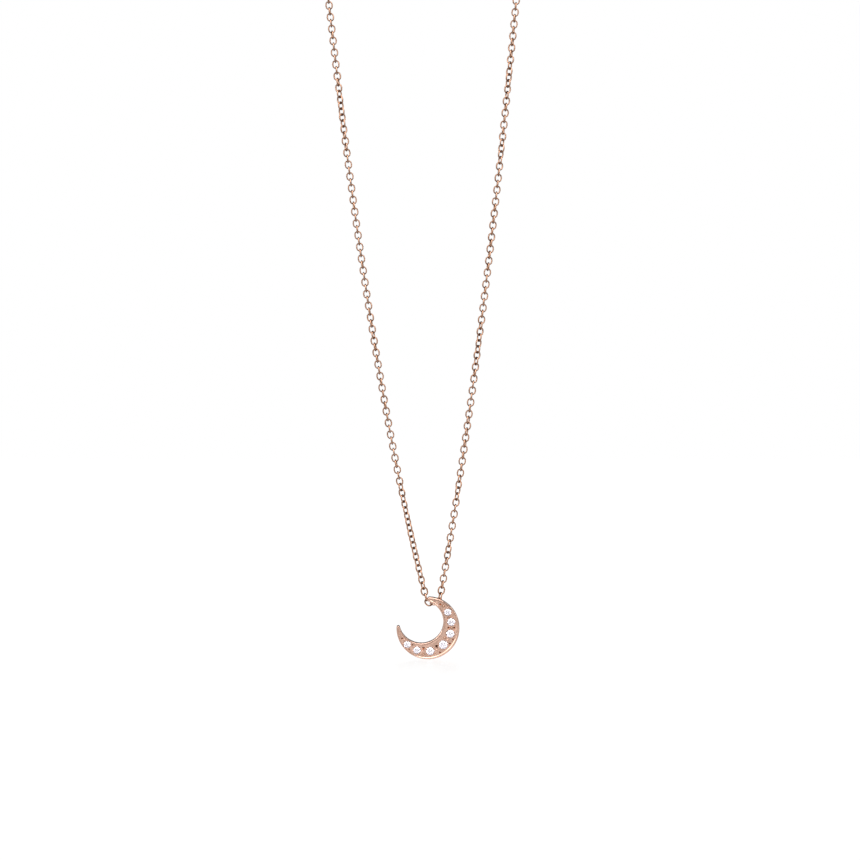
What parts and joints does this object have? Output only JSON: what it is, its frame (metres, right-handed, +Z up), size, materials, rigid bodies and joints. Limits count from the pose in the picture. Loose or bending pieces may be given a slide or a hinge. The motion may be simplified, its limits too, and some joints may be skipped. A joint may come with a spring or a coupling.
{
  "type": "pendant necklace",
  "caption": "Rose gold pendant necklace: a crescent set with graded round brilliants hangs by one horn from a fine cable chain with a lobster clasp.",
  "frame": {"origin": "crown of the chain, where it lies over whatever holds it up", "axes": "+Z up, along the hanging necklace; -Y towards the stones' side of the pendant; +X to the right as seen from the front"},
  "size_m": [0.0434, 0.0032, 0.1993],
  "materials": {
    "chain": "polished",
    "crescent": "polished",
    "clasp": "polished",
    "spring_steel": "satin",
    "diamond": "polished"
  },
  "bodies": {
    "nape": {"left_shoulder_link_above": "chain", "left_chain_nape": "chain", "left_end_link": "chain", "jump_ring": "clasp", "clasp_body": "clasp", "clasp_rivet": "clasp", "clasp_spring": "spring_steel", "end_ring": "clasp", "right_end_link": "chain", "right_chain_nape": "chain", "right_shoulder_link_above": "chain"},
    "clasp_lever": {"clasp_lever": "clasp"},
    "left_upper": {"left_shoulder_link_below": "chain", "left_chain_upper": "chain", "left_bend_link_above": "chain"},
    "right_upper": {"right_shoulder_link_below": "chain", "right_chain_upper": "chain", "right_bend_link_above": "chain"},
    "left_lower": {"left_bend_link_below": "chain", "left_chain_lower": "chain", "left_link_4": "chain", "left_link_3": "chain", "left_link_2": "chain"},
    "right_lower": {"right_bend_link_below": "chain", "right_chain_lower": "chain", "right_link_4": "chain", "right_link_3": "chain", "right_link_2": "chain", "right_link_1": "chain"},
    "bail_link": {"left_link_1": "chain"},
    "pendant": {"crescent_frame": "crescent", "bail_ring": "crescent", "diamond_1": "diamond", "diamond_2": "diamond", "diamond_3": "diamond", "diamond_4": "diamond", "diamond_5": "diamond", "diamond_6": "diamond", "diamond_7": "diamond"}
  },
  "joints": [
    {"name": "clasp_lever_pivot", "type": "hinge", "parent": "nape", "child": "clasp_lever", "pos_m": [-0.0011, 0, -0.00104], "axis": [0, 1, 0], "range_deg": [-26, 0], "stiffness_Nm_per_rad": 0.00002, "springref_deg": 17.19, "deforming": ["clasp_spring"]},
    {"name": "left_drop_swing", "type": "hinge", "parent": "nape", "child": "left_upper", "pos_m": [-0.02069, 0, -0.02633], "axis": [1, 0, 0], "range_deg": [-25, 25]},
    {"name": "right_drop_swing", "type": "hinge", "parent": "nape", "child": "right_upper", "pos_m": [0.02073, 0, -0.02633], "axis": [1, 0, 0], "range_deg": [-25, 25]},
    {"name": "left_bend_swing", "type": "hinge", "parent": "left_upper", "child": "left_lower", "pos_m": [-0.01291, 0, -0.1065], "axis": [1, 0, 0], "range_deg": [-30, 30]},
    {"name": "right_bend_swing", "type": "hinge", "parent": "right_upper", "child": "right_lower", "pos_m": [0.01399, 0, -0.1065], "axis": [1, 0, 0], "range_deg": [-30, 30]},
    {"name": "pendant_turn", "type": "hinge", "parent": "left_lower", "child": "bail_link", "pos_m": [0.00222, 0, -0.189], "axis": [0, 0, 1], "range_deg": [-4, 4]},
    {"name": "pendant_swing", "type": "hinge", "parent": "bail_link", "child": "pendant", "pos_m": [0.00222, 0, -0.189], "axis": [1, 0, 0], "range_deg": [-4, 40]}
  ],
  "couplings": [
    {"joint": "right_drop_swing", "follows": "left_drop_swing", "ratio": 1},
    {"joint": "right_bend_swing", "follows": "left_bend_swing", "ratio": 1}
  ]
}
